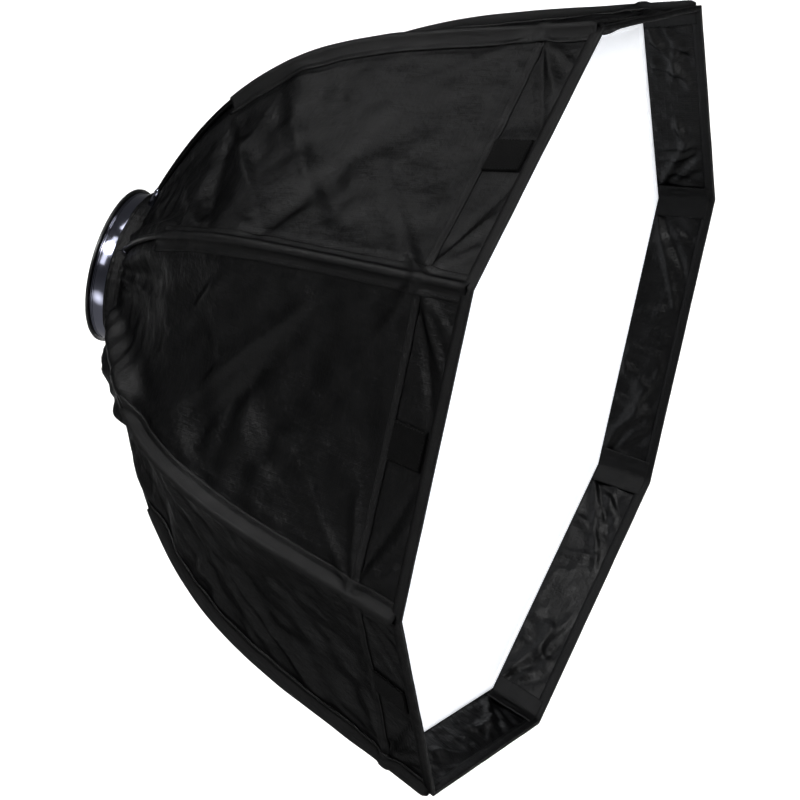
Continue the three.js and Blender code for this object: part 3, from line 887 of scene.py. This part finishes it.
def grid_patches():
    """Hook patch in the middle of each lip panel, sewn down round its edge."""
    lines = []
    low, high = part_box("grid_patch_1")
    rear_t, front_t = t_at_y(high[1] - 1 * MM), t_at_y(low[1])
    f = np.linspace(0, 1, 22)[:, None]
    x = np.linspace(-1, 1, 22)[None]
    t = rear_t + (front_t - rear_t) * f + 0 * x
    rho = layer(t)[0][..., 0]
    v = x * PATCH_HALF / (rho * math.sin(HALF))
    rim = np.maximum(np.abs(2 * f - 1), np.abs(x))
    lift = (1.9 - 1.3 * smooth(0.93, 1.0, rim)) * MM
    uvs = uv_grid(f * 33 * MM, x * PATCH_HALF)
    # The stitch row is the second ring of points from the edge, once round.
    ring = [(1, j) for j in range(1, 21)] + [(i, 20) for i in range(1, 21)]
    ring += [(20, j) for j in range(20, 0, -1)] + [(i, 1) for i in range(20, 0, -1)]
    rows, columns = zip(*ring)
    for k in range(SIDES):
        points, normals, _ = panel_points(k, t, v, lift)
        cloth_piece(f"hook_patch_{k + 1}", points, uvs, [HOOK], 1.0 * MM,
                    f"grid_patch_{k + 1}")
        ups = normals[rows, columns]
        lines.append((points[rows, columns] + ups * THREAD_LIFT, ups))
    stitches("patch_stitching", lines, spacing=2.6 * MM, length=1.7 * MM)


# ---- Diffusers ----


def diffuser_sheet(name, node, body, corner_r, y, bulge, seed):
    """Octagonal white sheet, slack in the middle, with pulls running in from its corners."""
    columns, rows = 40, 60
    f = np.linspace(0.02, 1, rows) ** 0.8
    sides = []
    source = np.random.default_rng(seed)
    for k in range(SIDES):
        v = np.arange(columns) / columns * 2 - 1
        r = corner_r * f[:, None]
        across = v[None] * r * math.sin(HALF)
        radial = r * math.cos(HALF) + 0 * across
        edge = (corner_r - r) * math.cos(HALF)
        out = bulge * (1 - f[:, None] ** 2)
        for side in (-1, 1):
            width = 0.012 + 0.05 * edge
            for shift in source.uniform(-0.03, 0.03, 2):
                line = side * r * math.sin(HALF) * (1 - shift * 4)
                fade = np.exp(-edge / 0.05) * smooth(0, 0.01, edge)
                out = out + 0.9 * MM * bump((across - line) / width) * fade
        out = out + 0.8 * MM * value_noise(across * 14 + k * 5, edge * 10, seed) * smooth(0, 0.02, edge)
        out = out + 0.45 * MM * np.exp(-edge / 0.012) * np.sin(across * 190 + k) * smooth(0, 0.004, edge)
        sides.append(place(radial, across, y - out, k * STEP))
    points = np.concatenate(sides, 1)
    middle = points[0].mean(0)
    vertices = np.concatenate([points.reshape(-1, 3), middle[None]])
    count = SIDES * columns
    faces = grid_faces(rows, count, wrap=True)
    faces += [(len(vertices) - 1, (j + 1) % count, j) for j in range(count)]
    obj = make_object(name, vertices, faces, WHITE, vertices[:, [0, 2]])
    recalculate(obj)
    solid = obj.modifiers.new("thickness", "SOLIDIFY")
    solid.thickness = 0.4 * MM
    solid.offset = 0
    attach(obj, body, node)
    width = 2 * corner_r * math.cos(HALF)


def diffuser_hem(name, body, corner_r, y):
    """Doubled white hem round a diffuser."""
    profile = ((0.2, -0.5), (0.0, 0.0), (0.3, 0.7), (4.0, 0.9), (8.0, 0.85), (8.4, 0.2))
    rows = [octagon_row(corner_r - inset * MM, y - out * MM, 40) for inset, out in profile]
    points = np.stack(rows, 0)
    uvs = uv_grid(np.linspace(0, 10 * MM, len(rows))[:, None], running_length(points[0])[None])
    cloth_piece(name, points, uvs, [WHITE], 0.4 * MM, wrap=True, body=body)


def diffusers():
    """The front sheet on its loop strip and the smaller inner sheet, each with its hem."""
    for which, less, back, bulge, seed in (("front", 0, 0.4, 3, 400), ("inner", 9, 0.8, 4, 410)):
        node, body = f"{which}_diffuser", f"{which}_sheet"
        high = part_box(node)[1]
        corner = high[0] / math.cos(HALF) - less * MM
        diffuser_sheet(f"{which}_diffusion_sheet", node, body, corner, high[1] - back * MM,
                       bulge * MM, seed)
        diffuser_hem(f"{which}_diffuser_hem", body, corner, high[1] - (back + 0.4) * MM)


# ---- Rods ----


def tube(name, path, radius, material, sides=16):
    """Round tube along points that lie in one plane with the Y axis."""
    tangent = np.gradient(path, axis=0)
    tangent /= np.linalg.norm(tangent, axis=1, keepdims=True)
    flat = np.cross(path[0], path[-1])
    flat /= np.linalg.norm(flat)
    second = np.cross(tangent, flat)
    angles = np.arange(sides) * 2 * math.pi / sides
    radius = np.broadcast_to(radius, len(path))[:, None, None]
    ring = flat * np.cos(angles)[None, :, None] + second[:, None] * np.sin(angles)[None, :, None]
    points = path[:, None] + ring * radius
    faces = grid_faces(len(path), sides, wrap=True)
    last = (len(path) - 1) * sides
    faces += [tuple(range(sides))[::-1], tuple(range(last, last + sides))]
    obj = make_object(name, points, faces, material)
    recalculate(obj)
    return obj


def rods():
    """Bowed rods, narrower at both tips, each with a metal ferrule where it enters the ring."""
    front_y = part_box("rod_1")[0][1]
    t = np.linspace(-0.012, t_at_y(front_y + 1 * MM, ROD_DEPTH), 90)
    radius = np.full(len(t), ROD_R)
    radius[0] *= 0.8
    radius[-1] *= 0.7
    ferrule_t = np.linspace(-0.008, 0.026, 16)
    ferrule_radius = np.array([2.9] * 10 + [3.0, 3.2, 3.2, 3.1, 2.9, 2.6]) * MM
    for k in range(SIDES):
        angle = HALF + k * STEP
        line, ferrule_line = layer(t, ROD_DEPTH)[0], layer(ferrule_t, ROD_DEPTH)[0]
        obj = tube(f"bowed_rod_{k + 1}", place(line[:, 0], 0, line[:, 1], angle), radius, ROD)
        attach(obj, "box", f"rod_{k + 1}")
        path = place(ferrule_line[:, 0], 0, ferrule_line[:, 1], angle)
        ferrule = tube(f"rod_ferrule_{k + 1}", path, ferrule_radius, POLISHED, 20)
        attach(ferrule, "box")


# ---- Speedring ----


def ring_piece(name, node, outline, material, radius, body="speedring"):
    """Turned ring that stands for a node."""
    attach(turned_object(name, outline, material, radius), body, node)


def plain_outline(node, inner):
    """Closed (r, y) outline of a plain ring, from an inner radius out to a node's box."""
    (_, front, _), (outer, rear, _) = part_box(node)
    return [(inner, rear), (inner, front), (outer, front), (outer, rear)]


def speedring():
    """The rings from the lamp's bore outwards."""
    (_, bottom, _), (liner_out, top, _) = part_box("grip_liner")
    (_, sleeve_front, _), (rim_out, rim_y, _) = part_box("mount_collar")
    (_, front, _), (outer, rear, _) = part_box("polished_band")
    liner_in = liner_out - 1.5 * MM
    groove_r, lip_r = liner_in + 0.5 * MM, liner_in + 0.3 * MM
    wall_in, wall_out = liner_out + 0.3 * MM, liner_out + 2.5 * MM
    rim_front = rim_y - 2.5 * MM
    ring_piece("lamp_collar", "mount_collar", [
        (lip_r, rim_y), (lip_r, rim_front), (wall_in, rim_front),
        (wall_in, sleeve_front), (wall_out, sleeve_front), (wall_out, rim_front),
        (rim_out, rim_front), (rim_out, rim_y)], BLACK_METAL, 0.8 * MM)
    ribs = []
    count = 10
    for i in range(count):
        y = top + (bottom - top) * (i + 0.25) / count
        ribs += [(liner_in, y), (liner_in, y - 1.6 * MM), (groove_r, y - 2.0 * MM),
                 (groove_r, y - 3.2 * MM)]
    outline = [(liner_out, top), (groove_r, top)] + ribs[:-1] + [(groove_r, bottom), (liner_out, bottom)]
    ring_piece("ribbed_grip_liner", "grip_liner", outline, RUBBER, 0.25 * MM)
    inner = wall_out + 0.3 * MM
    ring_piece("polished_ring_band", "polished_band", [
        (inner, rear), (inner, front), (outer - 0.6 * MM, front), (outer - 0.6 * MM, front + 1.4 * MM),
        (outer, front + 1.8 * MM), (outer, rear - 2.6 * MM), (outer - 0.9 * MM, rear - 2.2 * MM),
        (outer - 0.9 * MM, rear - 1.2 * MM), (outer - 0.1 * MM, rear - 0.9 * MM),
        (outer - 0.1 * MM, rear)], POLISHED, 0.3 * MM)
    ring_piece("swivel_slide_ring", "swivel_bearing", plain_outline("swivel_bearing", inner),
               PLASTIC, 0.3 * MM)
    ring_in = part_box("swivel_bearing")[1][0] + 0.3 * MM
    ring_piece("rod_holder_ring", "rod_ring", plain_outline("rod_ring", ring_in),
               BLACK_METAL, 0.8 * MM, body="box")
    ring_piece("retaining_circlip", "retaining_ring", plain_outline("retaining_ring", inner),
               BLACK_METAL, 0.4 * MM)


# ---- Clamp ----


def bevelled_node(node, name, width, material, body):
    """Copy of a node's own solid with its edges softened, standing for it."""
    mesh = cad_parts[node].data.copy()
    mesh.materials.clear()
    mesh.materials.append(material)
    mesh.shade_smooth()
    obj = add_object(name, mesh)
    weld = obj.modifiers.new("weld", "WELD")
    weld.merge_threshold = 0.01 * MM
    bevel = obj.modifiers.new("edges", "BEVEL")
    bevel.width = width
    bevel.segments = 3
    bevel.limit_method = "ANGLE"
    bevel.angle_limit = math.radians(40)
    attach(obj, body, node)


def clamp():
    """Fork, lever and pin of the clamp that closes the collar on the lamp."""
    bevelled_node("clamp_block", "clamp_fork", 0.45 * MM, BLACK_METAL, "speedring")
    bevelled_node("clamp_lever", "clamp_cam_lever", 0.5 * MM, BLACK_METAL, "lever")
    bevelled_node("lever_pin", "clamp_lever_pin", 0.3 * MM, POLISHED, "speedring")


# ---- Camera, light, floor ----


def camera():
    """Camera fitted to the photograph."""
    data = bpy.data.cameras.new("camera")
    data.lens = 189.6
    data.sensor_width = 36
    obj = add_object("camera", data)
    obj.location = (-3.014, -1.240, 0.713)
    obj.rotation_euler = [math.radians(a) for a in (76.333, -11.769, -68.985)]
    bpy.context.scene.camera = obj


def area_light(name, place_at, aim, size, power, spread=180):
    """Rectangular light that isn't seen by the camera, aimed at a point."""
    data = bpy.data.lights.new(name, "AREA")
    data.shape = "RECTANGLE"
    data.size, data.size_y = size
    data.energy = power
    data.spread = math.radians(spread)
    obj = add_object(name, data)
    obj.visible_camera = False
    obj.location = place_at
    direction = Vector(aim) - Vector(place_at)
    obj.rotation_euler = direction.to_track_quat("-Z", "Y").to_euler()
    return obj


def studio():
    """Pale surroundings, a pale floor with its own lights, and the object's lights."""
    scene = bpy.context.scene
    scene.view_settings.view_transform = "Standard"
    world = bpy.data.worlds.new("studio")
    world.use_nodes = True
    background = world.node_tree.nodes["Background"]
    background.inputs["Color"].default_value = (0.97, 0.98, 1.0, 1)
    background.inputs["Strength"].default_value = 0.12
    scene.world = world
    pale = Nodes("pale_floor", uv=False)
    pale.mix(pale.noise(3, 2), 0.93, 0.95)
    pale.set(Roughness=0.9)
    half = 60.0
    floor_z = cad_box[0][2] - 2.3
    corners = [(x * half, y * half, floor_z) for x, y in ((-1, -1), (1, -1), (1, 1), (-1, 1))]
    make_object("floor", corners, [(0, 1, 2, 3)], pale.material)
    # Two wide lights whiten the far floor, where the camera looks and where views from behind look.
    far = 18.5
    for name, ahead in (("background", Vector((0.95, 0.31, 0))),
                        ("front_background", Vector((0.45, -0.89, 0)))):
        above = ahead * far + Vector((0, 0, floor_z + 5))
        back = area_light(name, above, above - Vector((0, 0, 1)), (27, 12), 1500, 50)
        back.rotation_euler = (0, 0, math.atan2(ahead.y, ahead.x))
    area_light("overhead", (-0.9, 0.3, 2.8), (0.0, -0.1, 0), (1.0, 1.0), 23)
    area_light("rear_top", (0.2, 3.0, 2.2), (0, 0, 0.1), (0.9, 0.7), 26)
    area_light("front", (-0.5, -3.0, 2.8), (0, -0.3, 0), (1.6, 1.6), 90)
    # Raking lights on the folds round the ring, and two cards that only the gloss shows.
    ring = Vector((0, -0.01, 0))
    for name, way, power in (("rake_upper", (-2.3, 1.1, 1.5), 2.4),
                             ("rake_lower", (-1.5, 0.9, -1.6), 0.25)):
        area_light(name, ring + Vector(way), ring, (1.0, 0.9), power, 24)
    for name, way, size, power in (("ring_upper", (-2.3, 1.1, 1.3), (0.4, 2.2), 16),
                                   ("ring_lower", (-1.5, 0.9, -1.6), (0.3, 0.8), 4)):
        card = area_light(name, ring + Vector(way), ring, size, power)
        card.visible_diffuse = False


camera()
side_panels()
rod_sleeves()
lip_seams()
lip_facing()
corner_pockets()
edge_binding()
loop_strip()
neck_hem()
grid_patches()
diffusers()
rods()
speedring()
clamp()
studio()
